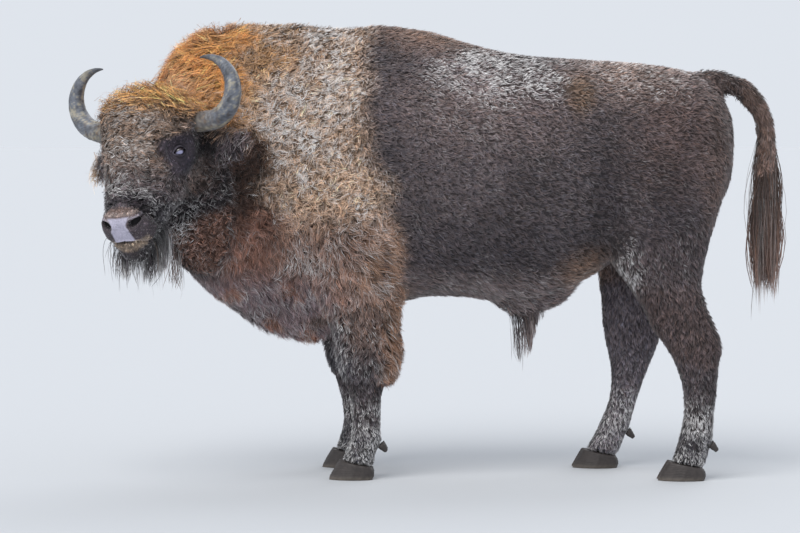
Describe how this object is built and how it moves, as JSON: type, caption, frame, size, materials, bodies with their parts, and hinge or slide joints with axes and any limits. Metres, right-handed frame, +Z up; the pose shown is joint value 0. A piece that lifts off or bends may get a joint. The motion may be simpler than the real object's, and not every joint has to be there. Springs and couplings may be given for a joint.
{
  "type": "european bison",
  "caption": "Life-size still model of a European bison bull in winter coat, standing with its head turned to its left, for display on a floor.",
  "frame": {"origin": "on the floor, under the middle of the bounding box", "axes": "+Z up, -X the way the body faces, -Y the bull's left side"},
  "size_m": [2.8104, 1.1222, 1.8203],
  "materials": {
    "coat": "short curly dark brown winter fur, matt",
    "mane": "long golden brown hair with frosted tips, matt",
    "face_coat": "short dark curly hair, frosted, matt",
    "leg_coat": "very short dark hair, matt",
    "long_hair": "long dark brown hair, slight sheen",
    "skin": "bare grey skin of the nose and lips, slightly damp",
    "horn": "grey horn, ridged at the base, smooth at the tip",
    "hoof": "dark hoof horn, worn satin",
    "eye": "wet glossy dark eye"
  },
  "bodies": {
    "root": {"beard": "mane", "ear_left": "face_coat", "ear_right": "face_coat", "eye_left": "eye", "eye_right": "eye", "foreleg_left_cannon": "leg_coat", "foreleg_left_dewclaw_inner": "hoof", "foreleg_left_dewclaw_outer": "hoof", "foreleg_left_foot": "leg_coat", "foreleg_left_hoof_inner": "hoof", "foreleg_left_hoof_outer": "hoof", "foreleg_left_upper": "leg_coat", "foreleg_right_cannon": "leg_coat", "foreleg_right_dewclaw_inner": "hoof", "foreleg_right_dewclaw_outer": "hoof", "foreleg_right_foot": "leg_coat", "foreleg_right_hoof_inner": "hoof", "foreleg_right_hoof_outer": "hoof", "foreleg_right_upper": "leg_coat", "head": "face_coat", "hindleg_left_cannon": "leg_coat", "hindleg_left_dewclaw_inner": "hoof", "hindleg_left_dewclaw_outer": "hoof", "hindleg_left_foot": "leg_coat", "hindleg_left_hoof_inner": "hoof", "hindleg_left_hoof_outer": "hoof", "hindleg_left_shank": "leg_coat", "hindleg_left_thigh": "coat", "hindleg_right_cannon": "leg_coat", "hindleg_right_dewclaw_inner": "hoof", "hindleg_right_dewclaw_outer": "hoof", "hindleg_right_foot": "leg_coat", "hindleg_right_hoof_inner": "hoof", "hindleg_right_hoof_outer": "hoof", "hindleg_right_shank": "leg_coat", "hindleg_right_thigh": "coat", "horn_left": "horn", "horn_right": "horn", "neck": "mane", "sheath_tuft": "long_hair", "tail": "long_hair", "tail_tuft": "long_hair", "trunk": "coat"}
  },
  "joints": []
}
